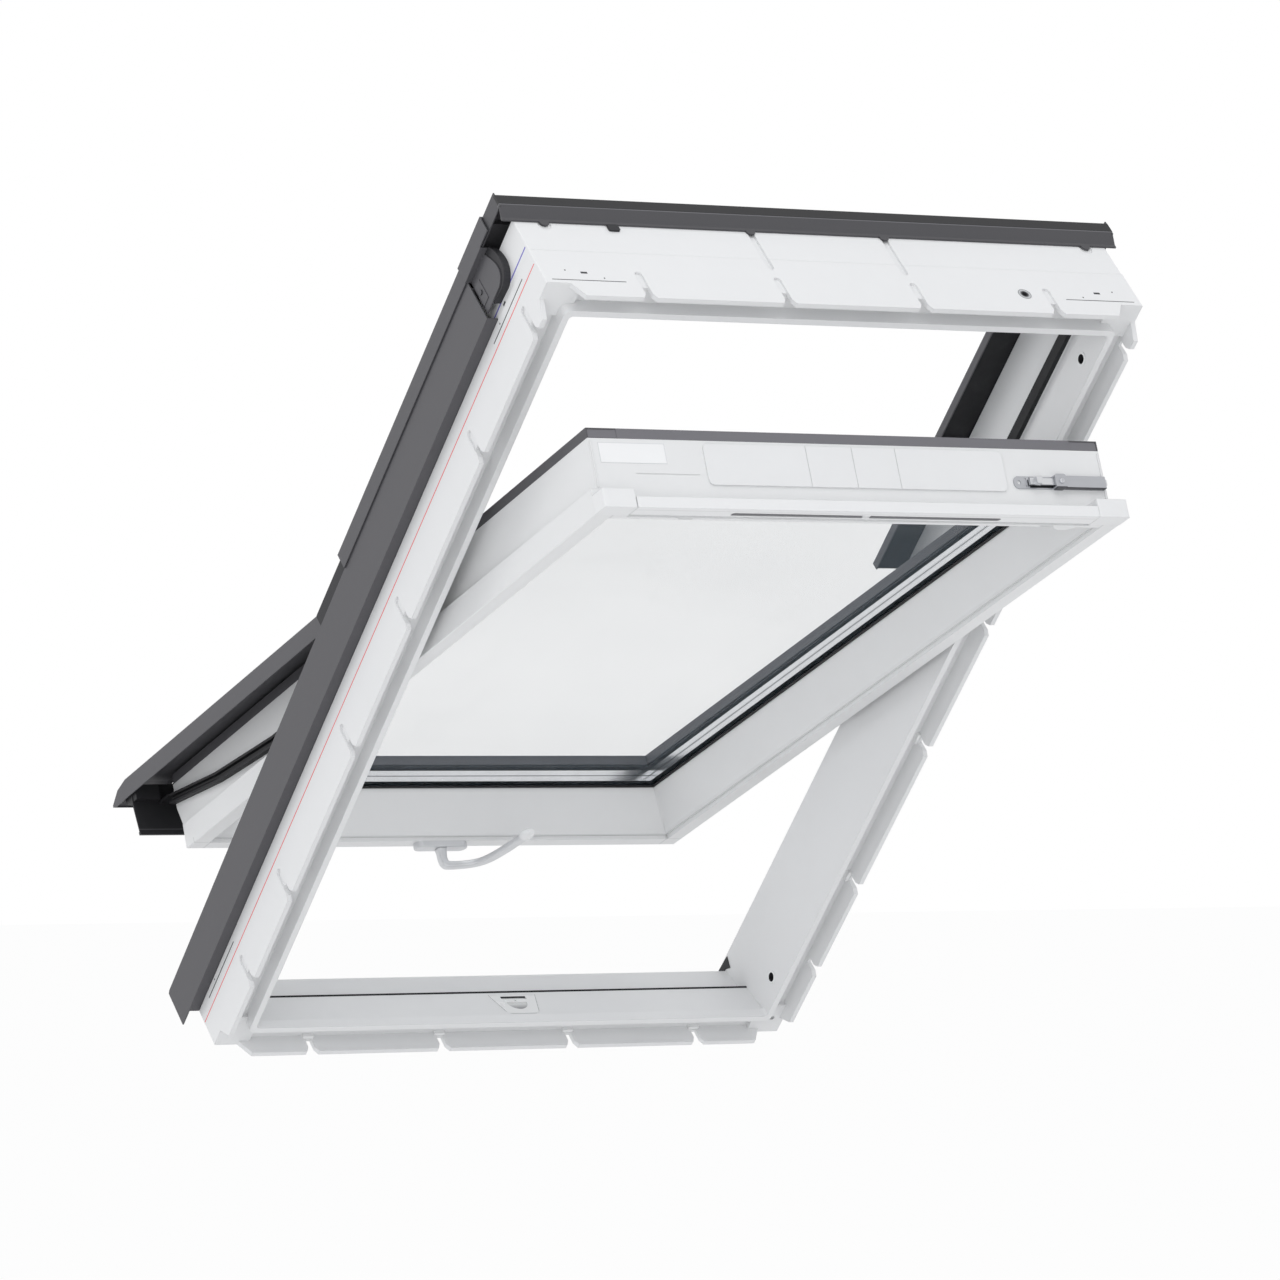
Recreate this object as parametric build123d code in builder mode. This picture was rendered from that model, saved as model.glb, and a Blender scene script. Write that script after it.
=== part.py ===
"""Centre-pivot roof window: a moulded outer frame, an opening sash with a double-glazed
pane, dark aluminium claddings outside, and the handle, bolt, vent flap and hinges.

Bench axes, used for all the modelling: X across the window (+X is the left jamb as seen from
the room), Y up the slope from the sill's outer face, and Z outwards to the sky from the
frame's room face. The sash is modelled shut. At the end each piece is opened about the
pivot if it swings, and the whole window is laid at the roof's pitch.
"""
from build123d import *
from math import cos, radians, sin, sqrt
import os

# Installed pose
roof_pitch = 46.7            # slope of the roof, degrees
sash_open_angle = 26.2       # how far the sash stands open, degrees
batten_line = 36.0           # depth of the red line that is set level with the roof battens

# Outer frame
frame_width = 780.0
frame_height = 1178.0
frame_depth = 108.0          # room face to the outside edge of the jambs
sill_depth = 95.0            # the sill is shallower, so that rain runs off
fixing_band_depth = 56.0     # outer faces stand against the rafters up to here
fixing_band_relief = 0.6     # and are set back by this much beyond it
jamb_thickness = 37.0
head_thickness = 36.0
sill_height = 40.0           # sill's inner edge at the room side
sill_fall_height = 32.0      # same surface, where it meets the step
sill_step_depth = 45.0
sill_low_height = 21.0
sill_nose_height = 11.6
upstand_depth = 129.0        # raised strip round the upper half, under the covers
upstand_thickness = 12.0
upstand_from_pivot = 45.0     # the upstand and its covers start above the hinge

# Edge of the frame that takes the room lining
rim_width = 8.0
rim_stand = 13.0             # how far the rim stands into the room
rim_corner_radius = 5.0
lining_floor_depth = 2.0
lip_width = 6.0
lip_stand = 20.0
lip_chamfer = 12.0
corner_block = 26.0
notch_width = 9.0
notch_pocket = 24.0          # rounded pocket that runs on into the outer face
notch_pocket_depth = 2.5
notch_pitch = 178.0
jamb_notch_shares = (0.106, 0.226, 0.422, 0.589, 0.800, 0.952)   # of the frame's height
notch_flare = 4.5
corner_hole_radius = 3.0
corner_hole_place = (16.4, 23.5)

# Sash, shut
sash_width_less = 96.0       # sash flange against the frame, in width
sash_height_less = 84.0      # and in height, with the vent flap
sash_bottom = 38.5
sash_room_depth = 24.5       # room face of the sash, measured from the frame's room face
flange_depth = 31.0
flange_overhang = 7.5        # flange beyond the body of the sash
sash_depth = 91.0
flap_height = 24.0
reveal_face = 20.8           # flat face from the flange's edge to the first fine step
reveal_step = 23.1
reveal_step_depth = 4.9
reveal_start_depth = 10.7
reveal_end = 36.0
reveal_depth = 63.6
reveal_top = 35.0
rebate_inset = 22.0          # glazing rebate from the flange's edge
rebate_top_wall = 6.0

# Glazing
pane_thickness = 4.0
pane_gap = 14.0
pane_play = 1.5              # pane edge to the rebate
bedding_thickness = 3.0
bedding_width = 12.0
bedding_show = 2.5
spacer_width = 9.0
spacer_show = 7.0

# Pivot
pivot_height = 600.0
pivot_depth = 130.0
pivot_pin_radius = 5.0
pivot_running_gap = 0.05
hinge_lug_radius = 11.0
hinge_plate_thickness = 3.0
hinge_plate_length = 84.0
hinge_plate_bottom = 62.0

# Claddings
sheet = 1.5
side_web_offset = 12.0       # side cladding stands this far outside the jamb
side_web_low = 57.0
side_web_top_at_sill = 111.0
side_web_top_at_head = 126.0
side_web_start = -23.0
side_flange_depth = 108.5
cover_depth = 141.0          # outside of the fixed covers
cover_reach = 75.0           # covers reach this far in from the frame's outer edge
cover_outer = 14.0
cover_under_depth = 130.5
cover_from_pivot = 54.0
head_cover_length = 84.0     # head cladding, down the slope from the frame's top face
head_lip_offset = 8.0
head_lip_depth = 104.0
head_fold_depth = 123.0
head_cladding_overhang = 15.0
corner_plate_length = 100.0
corner_cover_low = 119.0

# Sash claddings
sash_cladding_depth = 127.5
glass_edge_show = 9.0        # cladding over the glass, past the reveal
lower_cladding_depth = 134.5
lower_cladding_half = 381.5
lower_cladding_lip = 111.8
lower_cladding_nose = 60.0   # how far it reaches below the sill's outer face
lower_cover_from_pivot = 48.0

# Fittings
bolt_height_below_rail = 10.4
bolt_depth = 49.5
bolt_radius = 3.5
keep_hole_radius = 6.0
keep_upper_below_top = 91.0
keep_lower_height = 84.0
keep_depth = 12.0
grommet_from_side = 155.0
grommet_depth = 13.0
grommet_radius = 8.5
handle_stand = 28.0
striker_width = 65.0
striker_length = 41.0
striker_thickness = 2.5
striker_middle = -16.5

sash_width = frame_width - sash_width_less
sash_height = frame_height - sash_height_less
jamb_notch_places = [share * frame_height for share in jamb_notch_shares]
upstand_start = pivot_height + upstand_from_pivot
side_web_end = frame_height - corner_plate_length - 0.5
head_cover_reach = frame_height - head_cover_length
cover_end = head_cover_reach - 2
lower_cladding_end = pivot_height - lower_cover_from_pivot
keep_upper_place = (frame_height - keep_upper_below_top, keep_depth - 0.5)
keep_lower_place = (keep_lower_height, keep_depth)
half_width = frame_width / 2
grommet_place = (grommet_from_side - half_width, grommet_depth)
opening_half = half_width - jamb_thickness
opening_top = frame_height - head_thickness
sash_half = sash_width / 2
body_half = sash_half - flange_overhang
sash_top = sash_bottom + sash_height
body_top = sash_top - flap_height
body_outside = sash_room_depth + sash_depth
shelf_depth = sash_room_depth + reveal_depth
reveal_half = sash_half - reveal_end
reveal_bottom = sash_bottom + reveal_end
reveal_head = sash_top - reveal_top - 1.0
rebate_half = sash_half - rebate_inset
rebate_bottom = sash_bottom + rebate_inset
rebate_top = body_top - rebate_top_wall

os.makedirs("parts", exist_ok=True)

swing = Location((0, pivot_height, pivot_depth), (-sash_open_angle, 0, 0)) * Location(
    (0, -pivot_height, -pivot_depth)
)
installed = Location((0, 0, 0), (roof_pitch, 0, 0)) * Location((0, 0, -batten_line))


def keep(piece, name, swings=False):
    """Open the piece with the sash if it swings, lay it at the roof's pitch and write it."""
    place = installed * swing if swings else installed
    finished = piece.part.moved(place)
    finished.label = name
    export_step(finished, f"parts/{name}.step")


def across(x):
    """Plane square to the window's width, with its x along Y and its y along Z."""
    return Plane(origin=(x, 0, 0), x_dir=(0, 1, 0), z_dir=(1, 0, 0))


def upslope(y):
    """Plane square to the slope, with its x along X and its y along -Z."""
    return Plane(origin=(0, y, 0), x_dir=(1, 0, 0), z_dir=(0, 1, 0))


def sill_plane(x):
    """Plane on the sill's sloped top, its x along the window's width and its y towards the room."""
    run = sill_height - sill_fall_height
    length = sqrt(run**2 + sill_step_depth**2)
    square = (0, sill_step_depth / length, run / length)
    return Plane(origin=(x, sill_height, 0), x_dir=(1, 0, 0), z_dir=square)


def block(x_from, x_to, y_from, y_to, z_from, z_to, mode=Mode.ADD):
    """Box between two positions on each axis."""
    middle = ((x_from + x_to) / 2, (y_from + y_to) / 2, (z_from + z_to) / 2)
    with Locations(middle):
        Box(abs(x_to - x_from), abs(y_to - y_from), abs(z_to - z_from), mode=mode)


def prism(plane, points, length, mode=Mode.ADD):
    """Straight length with this section."""
    with BuildSketch(plane) as section:
        with BuildLine():
            Polyline(*points, close=True)
        make_face()
    extrude(section.sketch, amount=length, mode=mode)


def disc(plane, place, radius, length, mode=Mode.ADD):
    """Round bar or hole square to the plane."""
    with BuildSketch(plane) as section:
        with Locations(place):
            Circle(radius)
    extrude(section.sketch, amount=length, mode=mode)


def striker_outline(grow):
    """Shield shape of the striker plate, wide at the step and narrow at the room side."""
    wide = striker_width / 2 + grow
    narrow = striker_width / 2 - 11 + grow
    with BuildSketch() as shield:
        with BuildLine():
            Polyline(
                (-wide, -striker_length - grow), (wide, -striker_length - grow),
                (narrow, -2 + grow), (-narrow, -2 + grow), close=True,
            )
        make_face()
        fillet(shield.vertices().group_by(Axis.Y)[-1], 9)
    return shield.sketch


# Outer frame
side_rim = opening_half + rim_width
low_rim = sill_height - rim_width
high_rim = opening_top + rim_width
lip_inner = half_width - lip_width

with BuildPart() as frame_body:
    block(-half_width, half_width, 0, frame_height, 0, frame_depth)
    block(-opening_half, opening_half, sill_height, opening_top, -1, frame_depth + 1, Mode.SUBTRACT)
    sill_cut = [
        (sill_height + 1, -1),
        (sill_height + 1, frame_depth + 1),
        (-1, frame_depth + 1),
        (-1, sill_depth),
        (sill_nose_height, sill_depth),
        (sill_nose_height, 92),
        (sill_low_height, 50),
        (sill_fall_height, sill_step_depth),
        (sill_height, 0),
        (sill_height, -1),
    ]
    prism(across(-opening_half), sill_cut, 2 * opening_half, Mode.SUBTRACT)
    # outer faces set back beyond the band that stands against the rafters
    relief = fixing_band_relief
    for side in (1, -1):
        block(
            side * (half_width - relief), side * (half_width + 1), -1, frame_height + 1,
            fixing_band_depth, frame_depth + 1, Mode.SUBTRACT,
        )
    block(-half_width, half_width, -1, relief, fixing_band_depth, frame_depth + 1, Mode.SUBTRACT)
    block(
        -half_width, half_width, frame_height - relief, frame_height + 1,
        fixing_band_depth, frame_depth + 1, Mode.SUBTRACT,
    )
    # raised strip round the upper half
    upstand_half = opening_half + upstand_thickness
    upstand_top = opening_top + upstand_thickness
    block(-upstand_half, upstand_half, upstand_start, upstand_top, frame_depth, upstand_depth)
    block(
        -opening_half, opening_half, upstand_start - 1, opening_top,
        frame_depth, upstand_depth + 1, Mode.SUBTRACT,
    )
    # grooves for the room lining, between the corner blocks
    groove_end = frame_height - corner_block - 20
    for side in (1, -1):
        block(
            side * side_rim, side * lip_inner, corner_block + 20, groove_end,
            -1, lining_floor_depth + 4, Mode.SUBTRACT,
        )
    block(-345, 345, lip_width, low_rim, -1, lining_floor_depth + 4, Mode.SUBTRACT)
    block(-345, 345, high_rim, frame_height - lip_width, -1, lining_floor_depth + 4, Mode.SUBTRACT)
    # rim round the opening
    with BuildSketch(Plane.XY.offset(-rim_stand)) as rim:
        with Locations((0, (low_rim + high_rim) / 2)):
            RectangleRounded(2 * side_rim, high_rim - low_rim, rim_corner_radius + 4)
        with Locations((0, (sill_height + opening_top) / 2)):
            RectangleRounded(
                2 * opening_half, opening_top - sill_height, rim_corner_radius, mode=Mode.SUBTRACT
            )
    extrude(rim.sketch, amount=rim_stand)
    # outer lips with chamfered ends
    lip_side = [
        (24, 0),
        (24 + lip_chamfer, -lip_stand),
        (frame_height - 24 - lip_chamfer, -lip_stand),
        (frame_height - 24, 0),
    ]
    prism(across(lip_inner), lip_side, lip_width)
    prism(across(-half_width), lip_side, lip_width)
    lip_end = [
        (-half_width + 30, 0),
        (-half_width + 30 + lip_chamfer, lip_stand),
        (half_width - 30 - lip_chamfer, lip_stand),
        (half_width - 30, 0),
    ]
    prism(upslope(0), lip_end, lip_width)
    prism(upslope(frame_height - lip_width), lip_end, lip_width)
    # notches in the lips, with pockets that run on into the outer faces
    pocket_end = notch_pocket - notch_width / 2
    low = notch_width / 2
    for place in jamb_notch_places:
        for side in (1, -1):
            deep = side * (half_width - notch_pocket_depth)
            out = side * (half_width + 1)
            block(
                side * (lip_inner - 0.5), out, place - low, place + low,
                -lip_stand - 1, 0, Mode.SUBTRACT,
            )
            block(deep, out, place - low, place + low, -1, pocket_end, Mode.SUBTRACT)
            prism(across(side * (lip_inner - 0.5)), [
                (place - low - notch_flare, -lip_stand - 1),
                (place + low + notch_flare, -lip_stand - 1),
                (place + low, -lip_stand + 7),
                (place - low, -lip_stand + 7),
            ], side * (lip_width + 1), Mode.SUBTRACT)
            with Locations(Location((side * half_width, place, pocket_end), (0, 90, 0))):
                Cylinder(low, 2 * notch_pocket_depth, mode=Mode.SUBTRACT)
    for step in (-1.5, -0.5, 0.5, 1.5):
        place = step * notch_pitch
        for face, inward in ((0, 1), (frame_height, -1)):
            deep = face + inward * notch_pocket_depth
            out = face - inward
            block(
                place - low, place + low, face + inward * (lip_width + 0.5), out,
                -lip_stand - 1, 0, Mode.SUBTRACT,
            )
            block(place - low, place + low, deep, out, -1, pocket_end, Mode.SUBTRACT)
            prism(upslope(face + inward * (lip_width + 0.5)), [
                (place - low - notch_flare, lip_stand + 1),
                (place + low + notch_flare, lip_stand + 1),
                (place + low, lip_stand - 7),
                (place - low, lip_stand - 7),
            ], -inward * (lip_width + 1), Mode.SUBTRACT)
            with Locations(Location((place, face, pocket_end), (90, 0, 0))):
                Cylinder(low, 2 * notch_pocket_depth, mode=Mode.SUBTRACT)
    # drainage grooves in the head's outer face
    for place in (-88, 88):
        block(
            place - 4, place + 4, frame_height - 3, frame_height + 1,
            42.5, frame_depth + 1, Mode.SUBTRACT,
        )
        with Locations(Location((place, frame_height, 42.5), (90, 0, 0))):
            Cylinder(4, 6, mode=Mode.SUBTRACT)
    # small holes in the two lower corners
    for side in (1, -1):
        disc(
            Plane.XY.offset(-0.5),
            (side * (half_width - corner_hole_place[0]), corner_hole_place[1]),
            corner_hole_radius, 20, Mode.SUBTRACT,
        )
    # sockets for the bolt's bushes, the cable grommet and the handle's keep
    for place in (keep_upper_place, keep_lower_place):
        disc(across(-opening_half - 16), place, keep_hole_radius + 1.5, 17, Mode.SUBTRACT)
    grommet_at = (grommet_place[0], -grommet_place[1])
    disc(upslope(frame_height - 12), grommet_at, 6.0, 13, Mode.SUBTRACT)
    disc(upslope(frame_height - 1.2), grommet_at, grommet_radius, 2, Mode.SUBTRACT)
    with BuildSketch(sill_plane(striker_middle)) as pocket:
        add(striker_outline(0.2))
    extrude(pocket.sketch, amount=-striker_thickness, mode=Mode.SUBTRACT)
    # shallow band beside the seal on the jambs, above the hinge
    for side in (1, -1):
        block(
            side * (opening_half - 1), side * (opening_half + 1.2), upstand_start + 5,
            opening_top - 8, 34, 46, Mode.SUBTRACT,
        )
    # half-round pads under the head cladding, and softened outer corners
    for place in (-opening_half - 8, opening_half - 1):
        disc(upslope(frame_height - relief - 1), (place, -101), 8, 3, Mode.SUBTRACT)
    corners = frame_body.edges().filter_by(Axis.Z).filter_by(
        lambda e: abs(e.center().X) > half_width - 1 and e.length > 20
        and (e.center().Y < 1 or e.center().Y > frame_height - 1)
    )
    fillet(corners, 1.2)
keep(frame_body, "frame_body")

with BuildPart() as striker_plate:
    with BuildSketch(sill_plane(striker_middle)) as shield:
        add(striker_outline(0))
    extrude(shield.sketch, amount=-striker_thickness)
    with BuildSketch(sill_plane(striker_middle)) as openings:
        with Locations((0, -35.5)):
            SlotOverall(35, 4.5)
    extrude(openings.sketch, amount=-striker_thickness, mode=Mode.SUBTRACT)
    with BuildSketch(sill_plane(striker_middle)) as dish:
        with Locations((0, -26)):
            Circle(14)
            Rectangle(30, 16, align=(Align.CENTER, Align.MAX), mode=Mode.SUBTRACT)
    extrude(dish.sketch, amount=-striker_thickness + 0.7, mode=Mode.SUBTRACT)
    with BuildSketch(sill_plane(striker_middle)) as screw_hole:
        with Locations((0, -29.5)):
            Circle(1.6)
    extrude(screw_hole.sketch, amount=-striker_thickness, mode=Mode.SUBTRACT)
keep(striker_plate, "striker_plate")


def ring(outer, inner, z_from, z_to):
    """Flat ring; outer and inner are each a half width, a bottom and a top."""
    block(-outer[0], outer[0], outer[1], outer[2], z_from, z_to)
    block(-inner[0], inner[0], inner[1], inner[2], z_from - 1, z_to + 1, Mode.SUBTRACT)


# Small parts on the frame
for end, place in (("upper", keep_upper_place), ("lower", keep_lower_place)):
    with BuildPart() as bolt_bush:
        disc(across(-opening_half - 16), place, keep_hole_radius + 1.5, 16)
        disc(across(-opening_half), place, keep_hole_radius + 2.5, 0.8)
        disc(across(-opening_half - 15), place, keep_hole_radius - 0.4, 17, Mode.SUBTRACT)
    keep(bolt_bush, f"bolt_bush_{end}")

with BuildPart() as cable_grommet:
    disc(upslope(frame_height - 12), grommet_at, 6.0, 12)
    disc(upslope(frame_height - 1.2), grommet_at, grommet_radius, 1.2)
    disc(upslope(frame_height - 9), grommet_at, 3.2, 12, Mode.SUBTRACT)
keep(cable_grommet, "cable_grommet")

clip_floor = lining_floor_depth + 4
with BuildPart() as lining_clips:
    for place in jamb_notch_places[1:-1]:
        for side in (1, -1):
            block(
                side * (lip_inner - 4), side * lip_inner, place - 7, place + 7,
                clip_floor - 5, clip_floor,
            )
    for step in (-1.5, -0.5, 0.5, 1.5):
        place = step * notch_pitch
        block(place - 7, place + 7, lip_width, lip_width + 4, clip_floor - 5, clip_floor)
        block(
            place - 7, place + 7, frame_height - lip_width - 4, frame_height - lip_width,
            clip_floor - 5, clip_floor,
        )
keep(lining_clips, "lining_clips")

for hand, side in (("left", 1), ("right", -1)):
    with BuildPart() as frame_gasket:
        block(side * (opening_half - 6), side * opening_half, upstand_start + 5, opening_top - 7, 46, 60)
    keep(frame_gasket, f"frame_gasket_{hand}")
with BuildPart() as frame_gasket_head:
    block(-opening_half, opening_half, opening_top - 6, opening_top, 46, 60)
keep(frame_gasket_head, "frame_gasket_head")

with BuildPart() as sill_gasket:
    prism(across(-opening_half), [(32, 45), (33.0, 47.2), (22.4, 52.2), (21, 50)], 2 * opening_half)
keep(sill_gasket, "sill_gasket")

with BuildPart() as sill_cladding:
    sill_bent = [
        (-sheet, 66),
        (-sheet, sill_depth + sheet),
        (10, sill_depth + sheet),
        (10, sill_depth),
        (relief, sill_depth),
        (relief, 66),
    ]
    prism(across(-352), sill_bent, 704)
keep(sill_cladding, "sill_cladding")

web_inner = half_width + side_web_offset
for hand, side in (("left", 1), ("right", -1)):
    with BuildPart() as side_cladding:
        web = [
            (side_web_start, side_web_low),
            (side_web_start, side_web_top_at_sill - 2),
            (side_web_start + 4, side_web_top_at_sill),
            (side_web_end, side_web_top_at_head),
            (side_web_end, side_web_low),
        ]
        prism(across(side * web_inner), web, side * sheet)
        block(
            side * (opening_half + 13), side * (web_inner + 0.5), 3, side_web_end,
            frame_depth, frame_depth + sheet,
        )
        block(
            side * (half_width - relief), side * (web_inner + 0.5), 0, side_web_end,
            side_web_low, side_web_low + sheet,
        )
    keep(side_cladding, f"frame_side_cladding_{hand}")

    with BuildPart() as upper_cover:
        inner = half_width - cover_reach
        outer = half_width + cover_outer
        low_y = pivot_height + cover_from_pivot
        block(side * inner, side * (outer + sheet), low_y, cover_end, cover_depth - sheet, cover_depth)
        block(side * inner, side * (inner + sheet), low_y, cover_end, cover_under_depth, cover_depth)
        block(side * inner, side * (upstand_half + 1), low_y, cover_end, 133, 133 + sheet)
        block(side * (opening_half + 1), side * upstand_half, low_y, cover_end, upstand_depth, 133)
        block(side * outer, side * (outer + sheet), low_y, cover_end, 119, cover_depth)
        block(
            side * inner, side * (outer + sheet), low_y, low_y + sheet,
            cover_under_depth + 2.5, cover_depth,
        )
    keep(upper_cover, f"upper_cover_{hand}")

    with BuildPart() as cover_gasket:
        block(
            side * (inner + sheet), side * (opening_half + 1), low_y + 2, cover_end,
            cover_under_depth, 133,
        )
    keep(cover_gasket, f"cover_gasket_{hand}")

    with BuildPart() as hinge_cover:
        block(
            side * (opening_half + 13), side * (web_inner - 0.6), pivot_height - 38, pivot_height + 52,
            frame_depth + sheet, 138,
        )
        block(
            side * (opening_half + 15), side * (web_inner - 2.6), pivot_height - 36, pivot_height + 50,
            frame_depth, 136, Mode.SUBTRACT,
        )
        fillet(hinge_cover.edges().filter_by(Axis.X).group_by(Axis.Z)[-1], 1.5)
    keep(hinge_cover, f"hinge_cover_{hand}")

    with BuildPart() as end_plate:
        prism(
            across(side * (opening_half - 1.2)),
            [(27, 105), (22, 90), (13, 96.8), (0.3, 98), (0.3, 107)], side * 1.2,
        )
    keep(end_plate, f"sill_end_plate_{hand}")

    with BuildPart() as hinge_frame:
        inside = opening_half - hinge_plate_thickness
        low_end = pivot_height - hinge_plate_length / 2
        block(side * inside, side * opening_half, low_end, low_end + hinge_plate_length - 2, 66, 112)
        block(
            side * inside, side * opening_half, pivot_height - hinge_lug_radius,
            pivot_height + hinge_lug_radius, 100, pivot_depth,
        )
        disc(across(side * inside), (pivot_height, pivot_depth), hinge_lug_radius,
             side * hinge_plate_thickness)
        disc(across(side * (body_half + 0.5)), (pivot_height, pivot_depth), pivot_pin_radius,
             side * (opening_half - body_half - 0.5))
    keep(hinge_frame, f"hinge_frame_{hand}")

    corner_low = frame_height - corner_plate_length
    plate_out = half_width + 8
    with BuildPart() as corner:
        # bent cover over the joint between the side cover and the head cladding
        with BuildSketch(Plane.XZ.offset(-corner_low)) as bend:
            with BuildLine():
                Polyline(
                    (side * 345, cover_depth), (side * (outer + sheet), cover_depth),
                    (side * (outer + sheet), corner_cover_low),
                    (side * plate_out, corner_cover_low),
                    (side * plate_out, corner_cover_low - sheet),
                    (side * (outer + 2 * sheet), corner_cover_low - sheet),
                    (side * (outer + 2 * sheet), cover_depth + sheet),
                    (side * 345, cover_depth + sheet), close=True,
                )
            make_face()
        extrude(bend.sketch, amount=-50)
        block(side * 345, side * (outer + 2 * sheet), corner_low + 49, frame_height - 26,
              cover_depth, cover_depth + sheet)
        block(side * (outer + sheet), side * (outer + 2 * sheet), corner_low + 49, frame_height - 26,
              corner_cover_low, cover_depth + sheet)
        # plate with a curved edge, and a raised tab on it
        with BuildSketch(across(side * plate_out)) as plate:
            with BuildLine():
                Polyline(
                    (frame_height - 59, corner_cover_low), (corner_low, corner_cover_low),
                    (corner_low, 66), (frame_height - 62, 66),
                )
                Spline(
                    (frame_height - 62, 66), (frame_height - 50, 76), (frame_height - 50.5, 96),
                    (frame_height - 59, corner_cover_low),
                )
            make_face()
        extrude(plate.sketch, amount=side * sheet)
        block(side * (plate_out + sheet), side * (plate_out + sheet + 0.8), corner_low + 1.5,
              corner_low + 15, 76, 107)
        block(side * (half_width - relief), side * plate_out, corner_low, corner_low + 12, 80, 82)
    keep(corner, f"top_corner_{hand}")

    with BuildPart() as corner_seal:
        with BuildSketch(across(side * (half_width - relief))) as outline:
            with BuildLine():
                Polyline(
                    (frame_height - 48, 117.4), (corner_low + 16, 117.4), (corner_low + 16, 64),
                    (frame_height - 60, 62),
                )
                Spline(
                    (frame_height - 60, 62), (frame_height - 43, 74), (frame_height - 41, 98),
                    (frame_height - 48, 117.4),
                )
            make_face()
        extrude(outline.sketch, amount=side * 8.6)
        block(side * (half_width - 1), side * (half_width + 7), corner_low + 24, frame_height - 66,
              70, 110, Mode.SUBTRACT)
    keep(corner_seal, f"corner_seal_{hand}")

with BuildPart() as head_cladding:
    head_outer = half_width + cover_outer
    head_bent = [
        (head_cover_reach, cover_under_depth),
        (head_cover_reach, cover_depth),
        (frame_height + 5, cover_depth),
        (frame_height + 9.5, 137),
        (frame_height + 9.5, head_fold_depth),
        (frame_height + sheet, 108),
        (frame_height + sheet, head_lip_depth),
        (frame_height - relief, head_lip_depth),
        (frame_height - relief, 108.0),
        (frame_height, 108.4),
        (frame_height + 8, head_fold_depth + 0.4),
        (frame_height + 8, 136.4),
        (frame_height + 4.4, cover_depth - sheet),
        (head_cover_reach + sheet, cover_depth - sheet),
        (head_cover_reach + sheet, cover_under_depth),
    ]
    prism(across(-head_outer), head_bent, 2 * head_outer)
    head_floor_end = frame_height - 28
    block(-head_outer, head_outer, head_cover_reach + 3, head_floor_end, 133, 133 + sheet)
    block(-head_outer, head_outer, head_floor_end - sheet, head_floor_end, 133, cover_depth)
    for place in (-opening_half - 8, -88, 88, opening_half - 1):
        disc(upslope(frame_height - relief), (place, -head_lip_depth), 6, sheet + relief)
    block(-opening_half, opening_half, opening_top + 1, upstand_top, upstand_depth, 133)
    for side in (1, -1):
        block(
            side * head_outer, side * (head_outer - sheet), head_cover_reach, frame_height + 9,
            119.2, cover_depth,
        )
keep(head_cladding, "head_cladding")

with BuildPart() as cover_gasket_head:
    block(
        -(half_width - cover_reach + sheet), half_width - cover_reach + sheet,
        head_cover_reach + sheet, opening_top + 1, cover_under_depth, 133,
    )
keep(cover_gasket_head, "cover_gasket_head")

with BuildPart() as head_clip:
    block(259, 273, frame_height - relief, frame_height + 2, 94, head_lip_depth)
    fillet(head_clip.edges().filter_by(Axis.Y), 2)
keep(head_clip, "head_clip")

with BuildPart() as cladding_screws:
    for side in (1, -1):
        disc(across(side * (half_width + 8.8 + sheet)), (corner_low + 8, 92), 3.2, side * 1.2)
    for place in (-300, -100, 100, 300):
        disc(upslope(-sheet), (place, -80), 3.5, -1.6)
keep(cladding_screws, "cladding_screws")

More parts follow.
